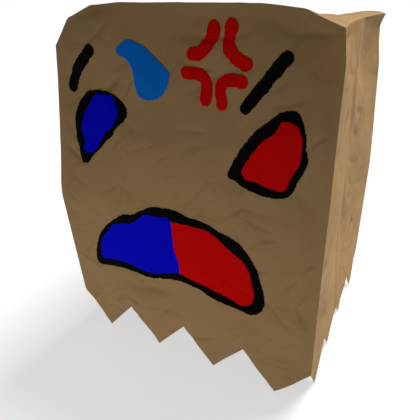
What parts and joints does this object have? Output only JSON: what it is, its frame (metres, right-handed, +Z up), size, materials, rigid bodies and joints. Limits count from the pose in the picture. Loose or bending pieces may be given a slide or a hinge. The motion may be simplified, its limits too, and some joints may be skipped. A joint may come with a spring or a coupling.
{
  "type": "paper bag mask",
  "caption": "Upturned block-bottom kraft bag worn over the head as a mask, with toothed edge, folding side gussets and a painted cartoon face.",
  "frame": {"origin": "centre of the open bottom, level with the tips of the teeth", "axes": "+Z up to the crown, -Y the painted front, +X to the right of the face as it is looked at"},
  "size_m": [0.3008, 0.2652, 0.381],
  "materials": {
    "kraft": "crumpled matte",
    "black_paint": "dry poster paint",
    "blue_paint": "dry poster paint",
    "red_paint": "dry poster paint",
    "crimson_paint": "dry poster paint",
    "teal_paint": "dry poster paint"
  },
  "bodies": {
    "back": {"rear_panel_left": "kraft", "rear_panel_right": "kraft", "crown_rear_flap": "kraft", "crown_left_tuck": "kraft", "crown_right_tuck": "kraft"},
    "right_rear_fold": {"right_gusset_rear": "kraft"},
    "right_front_fold": {"right_gusset_front": "kraft"},
    "front": {"front_panel": "kraft", "crown_front_flap": "kraft", "left_brow": "black_paint", "right_brow": "black_paint", "anger_mark_upper_left": "crimson_paint", "anger_mark_upper_right": "crimson_paint", "anger_mark_lower_left": "crimson_paint", "anger_mark_lower_right": "crimson_paint", "sweat_drop": "teal_paint", "left_eye_fill": "blue_paint", "left_eye_outline": "black_paint", "right_eye_fill": "red_paint", "right_eye_outline": "black_paint", "mouth_outline": "black_paint", "mouth_left_half": "blue_paint", "mouth_right_half": "red_paint"},
    "left_rear_fold": {"left_gusset_rear": "kraft"},
    "left_front_fold": {"left_gusset_front": "kraft"}
  },
  "joints": [
    {"name": "squeeze", "type": "hinge", "parent": "back", "child": "right_rear_fold", "pos_m": [0.1524, 0.1324, 0], "axis": [0.0446, 0, -0.999], "range_deg": [0, 22]},
    {"name": "right_gusset_crease", "type": "hinge", "parent": "right_rear_fold", "child": "right_front_fold", "pos_m": [0.14041, 0, -0.00053], "axis": [-0.0446, 0, 0.999], "range_deg": [0, 44]},
    {"name": "front_right_crease", "type": "hinge", "parent": "right_front_fold", "child": "front", "pos_m": [0.1524, -0.1324, 0], "axis": [0.0446, 0, -0.999], "range_deg": [0, 22]},
    {"name": "front_left_crease", "type": "hinge", "parent": "front", "child": "left_front_fold", "pos_m": [-0.1524, -0.1324, 0], "axis": [-0.0446, 0, -0.999], "range_deg": [0, 22]},
    {"name": "left_gusset_crease", "type": "hinge", "parent": "left_front_fold", "child": "left_rear_fold", "pos_m": [-0.14041, 0, -0.00053], "axis": [0.0446, 0, 0.999], "range_deg": [0, 44]}
  ],
  "couplings": [
    {"joint": "right_gusset_crease", "follows": "squeeze", "ratio": 2},
    {"joint": "front_right_crease", "follows": "squeeze", "ratio": 1},
    {"joint": "front_left_crease", "follows": "squeeze", "ratio": 1},
    {"joint": "left_gusset_crease", "follows": "squeeze", "ratio": 2}
  ]
}
